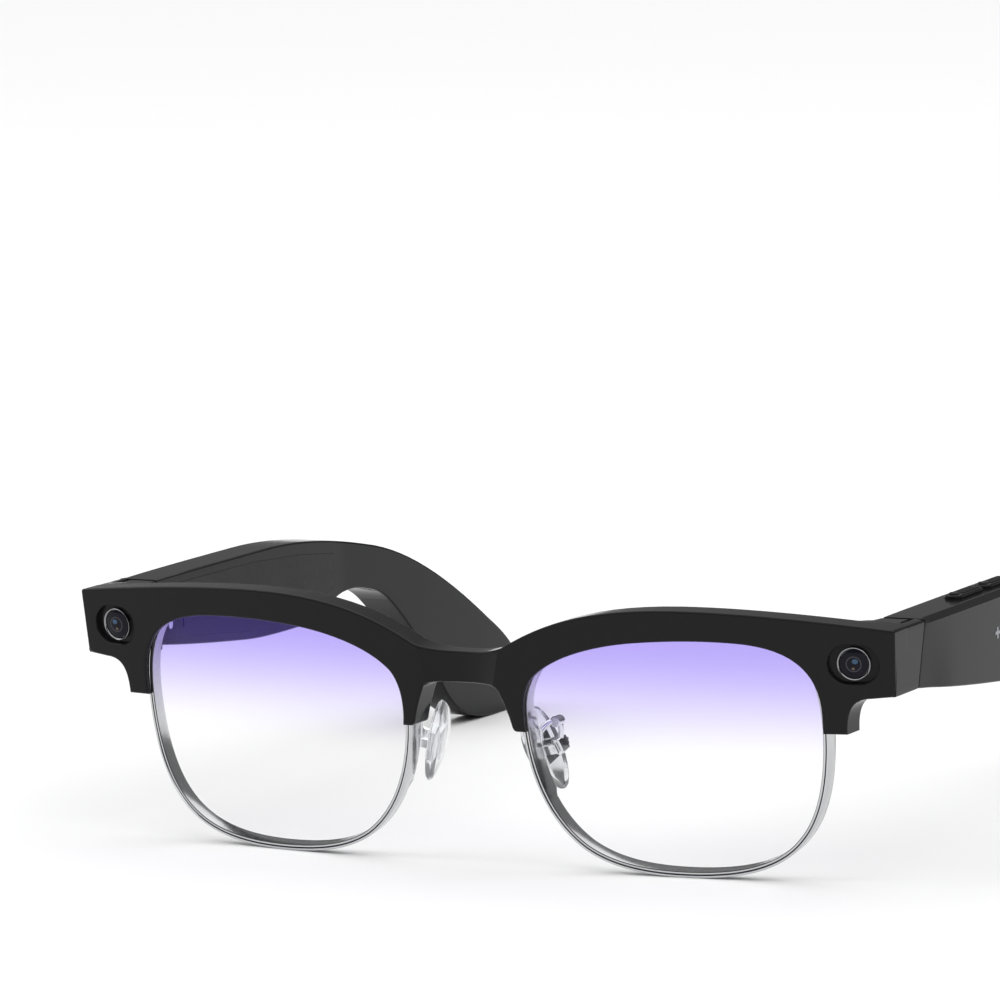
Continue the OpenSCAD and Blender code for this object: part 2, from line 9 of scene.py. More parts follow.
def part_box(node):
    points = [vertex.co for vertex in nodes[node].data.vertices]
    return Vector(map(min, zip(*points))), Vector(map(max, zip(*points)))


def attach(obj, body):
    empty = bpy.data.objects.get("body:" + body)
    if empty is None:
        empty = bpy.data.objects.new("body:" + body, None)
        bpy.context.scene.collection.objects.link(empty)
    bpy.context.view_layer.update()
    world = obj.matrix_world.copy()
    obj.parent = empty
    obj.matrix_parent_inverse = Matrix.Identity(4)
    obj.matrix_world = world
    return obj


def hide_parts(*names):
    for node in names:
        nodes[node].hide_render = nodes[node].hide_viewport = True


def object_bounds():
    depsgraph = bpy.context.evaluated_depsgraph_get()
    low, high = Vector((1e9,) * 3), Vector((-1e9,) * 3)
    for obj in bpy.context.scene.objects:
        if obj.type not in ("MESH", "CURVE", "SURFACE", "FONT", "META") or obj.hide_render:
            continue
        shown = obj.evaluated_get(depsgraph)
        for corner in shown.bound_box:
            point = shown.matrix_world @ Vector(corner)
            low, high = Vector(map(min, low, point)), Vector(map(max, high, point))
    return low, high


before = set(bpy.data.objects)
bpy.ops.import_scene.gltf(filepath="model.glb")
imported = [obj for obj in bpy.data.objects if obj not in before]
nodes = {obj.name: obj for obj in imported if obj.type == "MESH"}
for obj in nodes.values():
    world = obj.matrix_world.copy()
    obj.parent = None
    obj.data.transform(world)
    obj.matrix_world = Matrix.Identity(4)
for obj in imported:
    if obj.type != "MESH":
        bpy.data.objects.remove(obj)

cadBounds = [list(map(float, corner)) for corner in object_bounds()]  # the box of the CAD model
mm = 0.001

# shared shape tools: every length below is in millimetres, measured back from the front

tipEnd = 155.3  # rearmost point of the ear tips
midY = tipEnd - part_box("ear_tip_left")[1][1] / mm


def curve(p0, p1, p2, p3, count=14):
    # cubic curve through p0 and p3, pulled towards p1 and p2, without its first point
    t = np.linspace(0, 1, count + 1)[1:, None]
    a, b, c, d = (np.array(p, float) for p in (p0, p1, p2, p3))
    return (1 - t) ** 3 * a + 3 * t * (1 - t) ** 2 * b + 3 * t * t * (1 - t) * c + t ** 3 * d


def chain(start, *steps):
    # a path from start, where a step of one point is a straight line and one of three is a curve
    path = [np.array([start], float)]
    for step in steps:
        last = path[-1][-1]
        path.append(np.array([step], float) if np.ndim(step[0]) == 0 else curve(last, *step))
    return np.concatenate(path)


def smooth(x, low, high):
    # 0 below low, 1 above high, with an easy rise between them
    t = np.clip((np.asarray(x, float) - low) / (high - low), 0, 1)
    return t * t * (3 - 2 * t)


def counterclockwise(pts):
    # turns an outline round when the area that its crossed coordinates add up to is negative
    x, y = pts[:, 0], pts[:, 1]
    area = (x * np.roll(y, -1) - np.roll(x, -1) * y).sum()
    return pts if area > 0 else pts[::-1]


def dense(pts, longest):
    # a closed outline with extra points wherever a side is longer than longest
    nextPts = np.roll(pts, -1, 0)
    counts = np.maximum(np.ceil(np.hypot(*(nextPts - pts).T) / longest), 1).astype(int)
    start = np.repeat(pts, counts, 0)
    step = np.repeat((nextPts - pts) / counts[:, None], counts, 0)
    order = np.arange(counts.sum()) - np.repeat(np.cumsum(counts) - counts, counts)
    return start + step * order[:, None]


def even(pts, count):
    # a closed outline resampled at even steps of its length
    loop = np.concatenate([pts, pts[:1]])
    run = np.concatenate([[0], np.cumsum(np.hypot(*np.diff(loop, axis=0).T))])
    at = np.linspace(0, run[-1], count, endpoint=False)
    return np.stack([np.interp(at, run, loop[:, 0]), np.interp(at, run, loop[:, 1])], 1)


def outward(pts):
    # mitred outward normals of a counterclockwise outline
    ahead = np.roll(pts, -1, 0) - pts
    ahead /= np.maximum(np.hypot(*ahead.T), 1e-9)[:, None]
    sides = np.stack([ahead[:, 1], -ahead[:, 0]], 1)
    total = sides + np.roll(sides, 1, 0)
    total /= np.maximum(np.hypot(*total.T), 1e-6)[:, None]
    mitre = np.clip((total * sides).sum(1), 0.6, 1)
    return total / mitre[:, None]


def inside(points, loop):
    # even-odd test of many points against a closed outline
    a, b = loop, np.roll(loop, -1, 0)
    x, y = points[:, 0, None], points[:, 1, None]
    spans = (a[:, 1] > y) != (b[:, 1] > y)
    rise = np.where(np.abs(b[:, 1] - a[:, 1]) < 1e-12, 1e-12, b[:, 1] - a[:, 1])
    crossing = a[:, 0] + (y - a[:, 1]) * (b[:, 0] - a[:, 0]) / rise
    return (spans & (x < crossing)).sum(1) % 2 == 1


def filled(loop, spacing, crease=None):
    # flat triangles over an outline, with a grid of points inside it so that the face can curve,
    # and points along its creases
    low, high = loop.min(0), loop.max(0)
    gx, gy = np.meshgrid(np.arange(low[0], high[0], spacing), np.arange(low[1], high[1], spacing))
    grid = np.stack([gx.ravel(), gy.ravel()], 1)
    gap = np.abs(grid[:, None] - loop[None]).max(2).min(1)
    grid = grid[inside(grid, loop) & (gap > spacing * 0.45)]
    if crease is not None:
        crease = crease[inside(crease, loop) & (np.abs(crease[:, None] - loop[None]).max(2).min(1) > 0.1)]
        away = np.abs(grid[:, None] - crease[None]).max(2).min(1)
        grid = np.concatenate([grid[away > 0.7], crease])
    count = len(loop)
    points = [Vector(p) for p in np.concatenate([loop, grid]).tolist()]
    edges = [(i, (i + 1) % count) for i in range(count)]
    spots, _, faces, _, _, _ = delaunay_2d_cdt(points, edges, [], 1, 1e-6)
    return np.array([p[:] for p in spots]), [list(f) for f in faces]


def joined(*parts):
    # several (points, faces) shapes as one
    points, faces, base = [], [], 0
    for somePoints, someFaces in parts:
        points.append(np.asarray(somePoints, float))
        faces += [[i + base for i in f] for f in someFaces]
        base += len(somePoints)
    return np.concatenate(points), faces


def rows(grid, closeRows=False, closeColumns=True):
    # quads between the neighbouring rows of a grid of points, shape (rows, columns, 3)
    r, c = grid.shape[:2]
    i = np.arange(r if closeRows else r - 1)
    j = np.arange(c if closeColumns else c - 1)
    i, j = (k.ravel() for k in np.meshgrid(i, j, indexing="ij"))
    i2, j2 = (i + 1) % r, (j + 1) % c
    quads = np.stack([i * c + j, i * c + j2, i2 * c + j2, i2 * c + j], 1)
    return grid.reshape(-1, 3), quads.tolist()


def slab(outline, rings, place, spacing=2.0, crease=None):
    # an outline carried through rings of (inset, depth), closed by a filled face at each end
    normal = outward(outline)
    loops = [(outline - normal * np.reshape(inset, (-1, 1)), depth) for inset, depth in rings]
    walls = rows(np.stack([place(p[:, 0], p[:, 1], depth) for p, depth in loops]))
    caps = []
    for loop, depth in (loops[0], loops[-1]):
        flat, faces = filled(loop, spacing, crease)
        flatDepth = depth if np.ndim(depth) == 0 else np.mean(depth)
        caps.append((place(flat[:, 0], flat[:, 1], flatDepth), faces))
    return joined(walls, *caps)


def lathe(profile, turns=64):
    # a profile of (radius, y) turned about the y axis, with a flat disc across each end
    angle = np.linspace(0, 2 * np.pi, turns, endpoint=False)
    radius, y = np.array(profile, float).T
    grid = np.stack([radius[:, None] * np.cos(angle), np.repeat(y[:, None], turns, 1),
                     radius[:, None] * np.sin(angle)], -1)
    points, faces = rows(grid)
    last = len(points) - turns
    return points, faces + [list(range(turns)), list(range(last, last + turns))]


def tube(path, radius, turns=20):
    # a round wire along a path, with flat ends
    path = np.asarray(path, float)
    along = np.gradient(path, axis=0)
    along /= np.linalg.norm(along, axis=1)[:, None]
    side = np.cross(along, [0.3, 0.2, 0.93])
    side /= np.linalg.norm(side, axis=1)[:, None]
    up = np.cross(side, along)
    angle = np.linspace(0, 2 * np.pi, turns, endpoint=False)[None, :, None]
    size = np.broadcast_to(radius, (len(path),))[:, None, None]
    grid = path[:, None] + size * (np.cos(angle) * side[:, None] + np.sin(angle) * up[:, None])
    points, faces = rows(grid)
    last = len(points) - turns
    return points, faces + [list(range(turns)), list(range(last, last + turns))]


def sideName(side):
    # the wearer's left is side 1, and the right is side -1
    return "Left" if side > 0 else "Right"


def mirrored(shape, side):
    # on the right side x changes its sign
    points, faces = shape
    return np.asarray(points) * [side, 1, 1], faces


def build(name, shape, sharp=22, weighted=True):
    # a mesh object from (points, faces) in millimetres, welded, facing outwards
    points, faces = shape
    mesh = bpy.data.meshes.new(name)
    mesh.from_pydata(((np.asarray(points) - [0, midY, 0]) * mm).tolist(), [], faces)
    welder = bmesh.new()
    welder.from_mesh(mesh)
    bmesh.ops.remove_doubles(welder, verts=welder.verts, dist=2e-6)
    bmesh.ops.dissolve_degenerate(welder, edges=welder.edges, dist=1e-7)
    bmesh.ops.recalc_face_normals(welder, faces=welder.faces)
    welder.to_mesh(mesh)
    welder.free()
    piece = bpy.data.objects.new(name, mesh)
    bpy.context.scene.collection.objects.link(piece)
    shade(piece, sharp, weighted)
    return piece


def shade(piece, sharp=22, weighted=True):
    # smooth faces, with a hard line wherever two of them meet at more than sharp degrees
    piece.data.shade_smooth()
    piece.data.set_sharp_from_angle(angle=math.radians(sharp))
    if weighted and "even shading" not in piece.modifiers:
        modifier = piece.modifiers.new("even shading", "WEIGHTED_NORMAL")
        modifier.keep_sharp = True


def settle(piece):
    # writes the piece's modifiers into its mesh
    baked = bpy.data.meshes.new_from_object(piece.evaluated_get(bpy.context.evaluated_depsgraph_get()))
    piece.modifiers.clear()
    piece.data = baked


def carve(piece, *cutters, sharp=22):
    # cuts closed shapes out of a piece
    piece.modifiers.clear()
    for shape in cutters:
        cutter = build("cutter", shape, weighted=False)
        modifier = piece.modifiers.new("carve", "BOOLEAN")
        modifier.operation = "DIFFERENCE"
        modifier.solver = "EXACT"
        modifier.object = cutter
        settle(piece)
        bpy.data.objects.remove(cutter)
    shade(piece, sharp)


# the front: a curved face that leans back towards its lower edge

front = {
    "wrap": 363,        # plan radius of the front
    "lean": 7.3,        # degrees
    "pivotZ": 43.8,     # height of the line that it leans about
    "drop": 0.36,
    "depth": 5.42,      # brow bar, front to back
    "edge": 0.42,       # rounding of its front edges
    "dip": 1.6,         # depth of the concave bridge
    "dipTop": 7.6,      # half width of the dip at its top and bottom
    "dipLow": 6.1,
    "blockX": 63.25,    # the end pieces begin here
}
leanSin = math.sin(math.radians(front["lean"]))
leanCos = math.cos(math.radians(front["lean"]))
hangZ = front["pivotZ"] - front["drop"]


def wrapY(x):
    # how far the wrapped front lies behind its middle: the drop of a circle of radius wrap
    return front["wrap"] - np.sqrt(front["wrap"] ** 2 - np.asarray(x, float) ** 2)


def leaned(x, y, z):
    # from the upright drawing of the front to its leaning place
    up = np.asarray(z, float) - front["pivotZ"]
    return np.stack(np.broadcast_arrays(x, y * leanCos - up * leanSin, hangZ + y * leanSin + up * leanCos), -1)


def dipHalf(z):
    # half width of the bridge's dip, on a straight line from its foot to its top
    return np.interp(z, [31, 37.4], [front["dipLow"], front["dipTop"]])


def onFace(x, z, depth):
    # a point cut level from the leaning face, depth behind it: the dip is a shallow trough in the bridge
    half = dipHalf(z)
    trough = front["dip"] * np.clip(1 - (x / half) ** 2, 0, 1) * smooth(-np.asarray(depth), -3, -0.9)
    y = (wrapY(x) + depth + trough) / leanCos - leanSin / leanCos * (z - hangZ)
    return np.stack([x, y, z], -1)


camera = {"x": 67.6, "z": 36.2, "ring": 2.75, "recessW": 8.5, "recessH": 6.6, "recessD": 1.0}


def atCamera(points, side):
    # from a camera's own frame, y inwards, to its place on the front
    x, y, z = np.asarray(points, float).T
    turn = math.asin(camera["x"] / front["wrap"])
    spot = leaned(camera["x"] + x * math.cos(turn) - y * math.sin(turn),
                  wrapY(camera["x"]) + x * math.sin(turn) + y * math.cos(turn), camera["z"] + z)
    return spot * [side, 1, 1]


browHalf = chain(
    (0, 36.3), ((3, 36.3), (5.5, 36.4), (8, 37.4)), ((14.5, 41.1), (22, 44.6), (38, 44.8)),
    ((50, 44.9), (62.8, 43.7), (73.9, 42.47)), ((74.2, 42.43), (74.47, 42.3), (74.46, 41.9), 6),
    (74, 32.4), ((73.9, 31.7), (73.5, 31.5), (72.8, 31.4)),
    (70, 31.1), ((66.8, 31), (65.9, 28.9), (65.8, 25.1)), (61.9, 25.1), (61.9, 28.1),
    ((61.9, 34.5), (58.5, 38.6), (50, 39.5)), ((44, 40), (37, 39.8), (30, 39)),
    ((23, 38.1), (16.3, 35.9), (13, 32.6)), ((11.4, 30.9), (10.6, 27.5), (11.2, 23.4)),
    (9.9, 23.4), ((9.3, 23.4), (9.1, 23.6), (8.9, 24.2)), ((8.5, 26), (7.8, 28), (6.9, 30)),
    ((6.4, 30.9), (5.4, 31), (4, 31)), (0, 31))
lensEdge = counterclockwise(even(chain(
    (11.2, 25), ((11.4, 17), (14, 9), (20.2, 4.5)), ((24.8, 1.4), (31, 0.6), (38, 0.6)),
    ((46, 0.6), (52.8, 2), (56.6, 6.8)), ((60, 10.8), (61.3, 17.5), (61.4, 25)),
    ((61.4, 34.5), (58.5, 40), (48, 40.2)), ((40, 40.4), (33, 40.3), (26, 39.2)),
    ((15.5, 37.4), (10.7, 33), (11.2, 25))), 288))
rim = {"wide": 1.0, "front": 1.2, "deep": 3.0, "plate": 0.9, "lipInner": 0.58}
lens = {"front": 1.8, "thick": 1.8, "bite": 0.4}


def rounded(radius, deep, other=None, steps=4):
    # rings of a rounded front edge, a straight wall and a rounded back edge
    a = np.linspace(0, np.pi / 2, steps + 1)
    back = radius if other is None else other
    first = [(radius * (1 - math.sin(t)), radius * (1 - math.cos(t))) for t in a]
    last = [(back * (1 - math.cos(t)), deep - back * (1 - math.sin(t))) for t in a]
    return first + last


def stadium(length, width, steps=16):
    # a rectangle with half circles for ends, about the origin
    a = np.linspace(-np.pi / 2, np.pi / 2, steps)
    half = (length - width) / 2
    right = np.stack([half + width / 2 * np.cos(a), width / 2 * np.sin(a)], 1)
    return np.concatenate([right, -right])


def makeBrow():
    # the half outline and its mirror image, carried back from the leaning face through rounded edges,
    # less the two lens openings and the two camera recesses
    outline = np.concatenate([browHalf[:-1], (browHalf * [-1, 1])[::-1][:-1]])
    outline = dense(counterclockwise(outline), 0.9)
    level = np.arange(29.5, 38.5, 0.45)
    crease = np.concatenate([np.stack([hand * dipHalf(level), level], 1) for hand in (1, -1)])
    rings = rounded(front["edge"], front["depth"], 0.3, 7)
    brow = build("brow", slab(outline, rings, onFace, 1.6, crease), 15)
    cuts = []
    for side in (1, -1):
        grow = lensEdge + outward(lensEdge) * (rim["wide"] + 0.05)
        plug = slab(dense(counterclockwise(grow), 1.5), [(0, rim["front"] - 0.05), (0, 9)],
                    lambda x, z, d: leaned(x, wrapY(x) + d, z), 3.0)
        cuts.append(mirrored(plug, side))
        oval = stadium(camera["recessW"], camera["recessH"])
        rings = [(-0.35, -0.4), (-0.12, -0.02), (0, 0.14), (0.02, camera["recessD"])]
        recess, faces = slab(oval, rings, lambda x, z, d: np.stack([x, np.full_like(x, d), z], -1), 1.5)
        cuts.append((atCamera(recess, side), faces))
    carve(brow, *cuts, sharp=15)
    return brow


seam = {
    "y": 19.66,         # between an end piece and its temple, at the outer side and on this height
    "z": 37,
    "lean": 11,         # degrees
}


def narrowing(z):
    # how far the outer side draws in towards its lower edge
    return np.interp(z, [31.4, 42.4], [0.45, 0.03])


def makeEndBlock(side):
    # the deep part of an end piece: its plan carried upwards, with its rear edge on the leaning seam
    seamLean = math.tan(math.radians(seam["lean"]))
    plan = np.array([[front["blockX"], 9.5], [front["blockX"], 15.5], [72.5, 15.5], [72.5, 19.52],
                     [74.47, 19.52], [74.47, 9.5]])
    plan = dense(counterclockwise(plan), 1.2)

    def place(x, y, level):
        outer = smooth(x, 72.4, 72.6) * smooth(y, 15.6, 19)
        top = np.interp(x, [63, 66.5, 69, 74.0, 74.5], [42.3, 42.75, 42.9, 42.42, 42.2])
        low = np.interp(x, [66, 70, 74.5], [31.4, 31.12, 31.45])
        z = low + (top - low) * level
        lower = narrowing(z) * smooth(x, 73.5, 74.4)
        return np.stack([x - lower, y + outer * seamLean * (z - seam["z"]), z], -1)

    rings = [(0.35, 0.0), (0.1, 0.008), (0, 0.03)]
    rings += [(0, level) for level in np.linspace(0.1, 0.9, 5)]
    rings += [(0, 0.97), (0.1, 0.992), (0.35, 1.0)]
    return build("endBlock" + sideName(side), mirrored(slab(plan, rings, place, 1.5), side))


def makeRim(side):
    # the rim's section carried round the lens, deeper beside the nose where its arm is fixed
    lip, first, back = rim["lipInner"], rim["front"], rim["front"] + rim["deep"]
    section = np.array([
        (0.0, first + 0.2), (0.12, first + 0.06), (0.34, first + 0.05), (lip - 0.17, first + 0.1),
        (lip - 0.13, first + 0.34), (lip - 0.04, first + 0.34), (lip, first + 0.08),
        (lip + 0.06, first), (0.88, first), (0.97, first + 0.06), (1.0, first + 0.16),
        (1.0, back - 0.2), (0.95, back - 0.06), (0.84, back), (0.16, back), (0.05, back - 0.06),
        (0.0, back - 0.2)])
    normal = outward(lensEdge)
    x0, z0 = lensEdge.T
    nasal = (1 - smooth(x0, 16, 17)) * smooth(z0, 12, 12.8) * (1 - smooth(z0, 25.5, 26.5))
    deeper = np.where(section[:, 1] > first + 1.5, rim["plate"], 0)
    spots = lensEdge[None] + section[:, :1, None] * normal[None]
    depth = section[:, 1:2] + deeper[:, None] * nasal[None]
    grid = leaned(spots[..., 0], wrapY(spots[..., 0]) + depth, spots[..., 1])
    return build("rim" + sideName(side), mirrored(rows(grid, closeRows=True), side), 30, weighted=False)


def makeLens(side):
    # two curved faces and a ground edge, as one surface from the middle of the front to that of the back
    edge = lensEdge + outward(lensEdge) * lens["bite"]
    centre = np.array([36.5, 21.0])
    share = np.sin(np.linspace(0.03, 1, 14) * np.pi / 2)
    face = centre + (edge - centre)[None] * share[:, None, None]
    near = leaned(face[..., 0], wrapY(face[..., 0]) + lens["front"], face[..., 1])
    far = leaned(face[..., 0], wrapY(face[..., 0]) + lens["front"] + lens["thick"], face[..., 1])
    points, faces = rows(np.concatenate([near, far[::-1]]))
    count = len(edge)
    ends = [list(range(count)), list(range(len(points) - count, len(points)))]
    return build("lens" + sideName(side), mirrored((points, faces + ends), side), 40, weighted=False)


# temples: a side outline, mapped onto the plan's inner and outer curves

temple = {
    "split": 105,       # the ear tip begins here
    "chamferH": 0.85,   # the flat band along the upper outer edge
    "chamferW": 0.15,   # as a share of the thickness
    "edge": 0.4,
}
outerPlan = chain((74.5, 14), (74.5, 19.6), ((75.1, 30), (75.1, 65), (74.4, 85), 12),
                  ((73.4, 105), (71.4, 128), (70, 156.3), 12))
innerPlan = chain((67, 14), (67, 88), ((66.2, 112), (65.1, 135), (65.1, 156.3), 12))
sideOutline = chain(
    (19.6, 42.5), ((32, 42.6), (46, 42.6), (60, 42.6)), ((72, 42.6), (85, 41), (97, 38.5)),
    ((112, 35.8), (127, 28.3), (143, 18.3)), ((150, 14.3), (155.3, 10.3), (155.3, 6)),
    ((155.3, 2), (152.5, 0), (148.5, 0)), ((138, 0), (130, 1), (124.5, 8)),
    ((120.5, 13), (113, 21.5), (105, 27.2)),
    ((101, 30), (96, 31), (91, 31)), ((84, 31), (80, 27), (71, 27)), ((63, 27), (57, 27), (50, 27.8)),
    ((38, 29), (28, 30.2), (19.6, 31.5)))


def templeSpan(y):
    # the skin lies a hair inside the curves, so that the printed marks stand on it
    inner = np.interp(y, innerPlan[:, 1], innerPlan[:, 0])
    outer = np.interp(y, outerPlan[:, 1], outerPlan[:, 0])
    return inner + 0.03, outer - 0.06


def onTemple(y, z, share):
    # a share of 0 is on the inner face and 1 on the outer one, and the front end leans with the seam
    inner, outer = templeSpan(y)
    nearFront = 1 - smooth(y, 19.6, 24)
    shift = seam["y"] - 19.6 + math.tan(math.radians(seam["lean"])) * (z - seam["z"])
    outer = outer - narrowing(z) * (1 - smooth(y, 19.6, 32))
    return np.stack([inner + (outer - inner) * share, y + shift * nearFront, z], -1)


def makeTemple():
    # the side outline carried from the inner face to the outer one, with a quarter round on the inner edge
    outline = dense(counterclockwise(sideOutline), 1.4)
    normal = outward(outline)
    upper = smooth(normal[:, 1], 0.3, 0.8) * (1 - smooth(outline[:, 0], 128, 150))
    upper *= smooth(outline[:, 0], 19.4, 20)
    edge, thick = temple["edge"], 7.5
    rings = []
    for t in np.linspace(0, np.pi / 2, 5):
        rings.append((edge * (1 - math.sin(t)), edge * (1 - math.cos(t)) / thick))
    rings += [(0, share) for share in (0.25, 0.45, 0.65)]
    high, wide = temple["chamferH"], temple["chamferW"]
    # the band slopes straight outwards above, and melts into a small rounding elsewhere
    for t in np.linspace(0, 1, 6):
        soft = 0.35 * (1 - math.cos(t * np.pi / 2))
        start = 1 - wide * upper - (1 - upper) * 0.35 / thick
        rings.append((high * t * upper + soft * (1 - upper),
                      start + (1 - start) * (t * upper + math.sin(t * np.pi / 2) * (1 - upper))))
    return slab(outline, rings, onTemple, 2.2)


def splitAt(piece, y, keepFront):
    # keeps the part of a piece before or behind a plane, and closes the cut
    cutter = bmesh.new()
    cutter.from_mesh(piece.data)
    geometry = cutter.verts[:] + cutter.edges[:] + cutter.faces[:]
    cut = bmesh.ops.bisect_plane(cutter, geom=geometry, plane_co=(0, (y - midY) * mm, 0), plane_no=(0, 1, 0),
                                 clear_outer=keepFront, clear_inner=not keepFront)
    edges = [item for item in cut["geom_cut"] if isinstance(item, bmesh.types.BMEdge)]
    bmesh.ops.holes_fill(cutter, edges=edges, sides=0)
    bmesh.ops.recalc_face_normals(cutter, faces=cutter.faces)
    cutter.to_mesh(piece.data)
    cutter.free()
    shade(piece)
    return piece


def prism(outline, x0, x1):
    # a straight prism across the temple from an outline given as (y, z)
    return slab(counterclockwise(outline), [(0, x0), (0, x1)],
                lambda y, z, x: np.stack([np.full_like(y, x), y, z], -1), 3.0)


button = {"x": 70.4, "width": 3.0, "length": 11.5, "front": 41, "rear": 53.4, "top": 42.55, "height": 0.7}
room = np.array([(15.6, 32.1), (31, 31.4), (48, 29.5), (58, 28.5), (71, 28.6), (79, 30.6), (85, 32.6),
                 (85, 38.4), (72, 39.9), (55, 40.9), (35, 41), (15.6, 41)])


def buttonPlan(y0, grow):
    # a button from above, its long way front to back, from y0 on and wider by grow all round
    plan = stadium(button["length"] + 2 * grow, button["width"] + 2 * grow)[:, ::-1]
    return plan + [button["x"], y0 + button["length"] / 2]


def upright(outline, rings, spacing=1.0):
    # an (x, y) outline carried upwards through rings of (inset, height)
    return slab(dense(counterclockwise(outline), 0.6), rings,
                lambda x, y, z: np.stack([x, y, np.broadcast_to(z, x.shape)], -1), spacing)


hinge = {"x": 69.2, "y": 18.1, "disc": 2.6}


def makeNoseDiscs(side):
    # the two thin round ends of a temple, above and below the hinge: half a circle about its pin
    parts = []
    a = np.linspace(np.pi, 2 * np.pi, 25)
    disc = np.stack([hinge["x"] + hinge["disc"] * np.cos(a), hinge["y"] + hinge["disc"] * np.sin(a)], 1)
    plan = np.concatenate([disc, [(71.8, 20.3), (67.0, 20.3)]])
    for low, high in ((41.2, 42.4), (31.4, 32.3)):
        rings = [(0.15, low), (0, low + 0.15), (0, high - 0.2), (0.06, high - 0.06), (0.2, high)]
        parts.append(upright(plan, rings))
    return build("templeNose" + sideName(side), mirrored(joined(*parts), side))


def makeButton(y0, name):
    # a long key with a crowned top, cross ridges along its middle and a round nub near its front end
    base, top = 40.8, button["top"] + button["height"]
    rings = [(0, base), (0, top - 0.35), (0.04, top - 0.2), (0.13, top - 0.08), (0.28, top - 0.01), (0.5, top)]
    parts = [upright(buttonPlan(y0, 0), rings)]
    across = np.array([[-1, -0.16], [1, -0.16], [1, 0.16], [-1, 0.16]])
    for y in np.arange(y0 + 3.4, y0 + button["length"] - 1.6, 0.72):
        parts.append(upright(across + [button["x"], y], [(0, top - 0.1), (0, top + 0.04), (0.08, top + 0.12)]))
    a = np.linspace(0, 2 * np.pi, 24, endpoint=False)
    nub = np.stack([button["x"] + 0.9 * np.cos(a), y0 + 1.6 + 0.9 * np.sin(a)], 1)
    parts.append(upright(nub, [(0, top - 0.2), (0, top + 0.15), (0.12, top + 0.28), (0.35, top + 0.34)]))
    return build(name, joined(*parts))


# nose pads, their arms, and the cameras' small parts

pad = {
    "tall": 15.8,
    "wide": 7.8,
    "thick": 2.2,
    "dome": 24,             # radius of the face
    "clear": (0.97, 0.98),  # height and width are this much of the sizes above, to rock clear of the brow
    "splay": 13,            # degrees
    "at": (10.7, 12.4, 19.5),
    "turn": (17, -18.5),
}


def atPad(points, side):
    # from a pad's own frame, x out of its face and z up, to its place: turned by its splay and its tilt
    x, y, z = np.asarray(points, float).T
    angles = (("Y", pad["turn"][1]), ("X", pad["turn"][0]), ("Z", 180 - pad["splay"]))
    aboutY, aboutX, aboutZ = (Matrix.Rotation(math.radians(angle), 3, axis) for axis, angle in angles)
    turn = aboutY @ aboutX @ aboutZ
    return (np.stack([x, y, z], 1) @ np.array(turn).T + pad["at"]) * [side, 1, 1]


def makePad(side):
    # an oval cushion: rings of ellipses from the flat back round the edge to the face, part of a sphere
    a = np.linspace(0, 2 * np.pi, 72, endpoint=False)
    tall, wide = pad["tall"] / 2, pad["wide"] / 2
    share = np.array([0.0, 0.3, 0.6, 0.8, 0.9, 0.95, 0.985, 1, 1, 0.985, 0.94, 0.85, 0.7, 0.5, 0.25, 0.0])
    height = np.array([0, 0, 0, 0, 0.04, 0.12, 0.28, 0.5, 0.62, 0.85, 1, 1, 1, 1, 1, 1])
    z = -tall * np.cos(a)[None] * share[:, None] * pad["clear"][0]
    y = wide * np.sin(a)[None] * (1 - 0.12 * np.cos(a))[None] * share[:, None] * pad["clear"][1]
    dome = np.sqrt(pad["dome"] ** 2 - y ** 2 - z ** 2) - pad["dome"] + pad["thick"]
    x = np.where(height[:, None] >= 1, dome, np.minimum(height[:, None] * dome.min(), dome))
    points, faces = rows(np.stack([x, y, z], -1))
    return build("nosePad" + sideName(side), (atPad(points, side), faces), 60, weighted=False)


def makeNoseArm(side):
    # a bent wire from the plate behind the rim to a forked holder behind the pad
    path = np.array([(10.9, 8.4, 22.0), (11.3, 9.2, 23.1), (11.9, 10.2, 23.95), (12.7, 11.0, 24.15),
                     (13.25, 11.6, 23.7), (13.42, 11.8, 22.9), (13.35, 11.72, 21.8), (13.2, 11.7, 20.5)])
    run = np.linspace(0, 1, len(path))
    fine = np.linspace(0, 1, 40)
    path = np.stack([np.interp(fine, run, path[:, k]) for k in range(3)], 1)
    kernel = np.ones(5) / 5
    path = np.stack([np.convolve(np.pad(path[:, k], 2, "edge"), kernel, "valid") for k in range(3)], 1)
    parts = [tube(path, 0.5)]
    barrel, barrelFaces = lathe([(0.75, 10.2), (0.92, 10.3), (0.92, 12.25), (0.75, 12.38)], 32)
    parts.append((barrel + [13, 0, 24.1], barrelFaces))
    square = np.array([(-1.1, -1.3), (1.1, -1.3), (1.1, 1.3), (-1.1, 1.3)])
    block, blockFaces = slab(dense(square, 0.5), rounded(0.25, 1.65),
                             lambda y, z, d: np.stack([np.full_like(y, d) - 3.48, y, z], -1), 1.0)
    parts.append((atPad(block, 1), blockFaces))
    flat = np.array([(10.42, 19.85), (11.58, 19.85), (11.58, 22.55), (10.42, 22.55)])
    rear = rim["front"] + rim["deep"] + rim["plate"]
    foot = slab(dense(flat, 0.6), rounded(0.15, 0.78), lambda x, z, d: leaned(x, wrapY(x) + rear + d, z), 1.0)
    parts.append(foot)
    return build("noseArm" + sideName(side), mirrored(joined(*parts), side), 35)


def domeY(radius):
    # the camera's cover glass bulges forwards in the middle, as a parabola
    return 0.32 + 0.42 * (radius / camera["ring"]) ** 2


def cameraPart(name, profile, side, sharp=30):
    # a profile turned about a camera's axis
    points, faces = lathe(profile, 72)
    return build(name + sideName(side), (atCamera(points, side), faces), sharp, weighted=False)


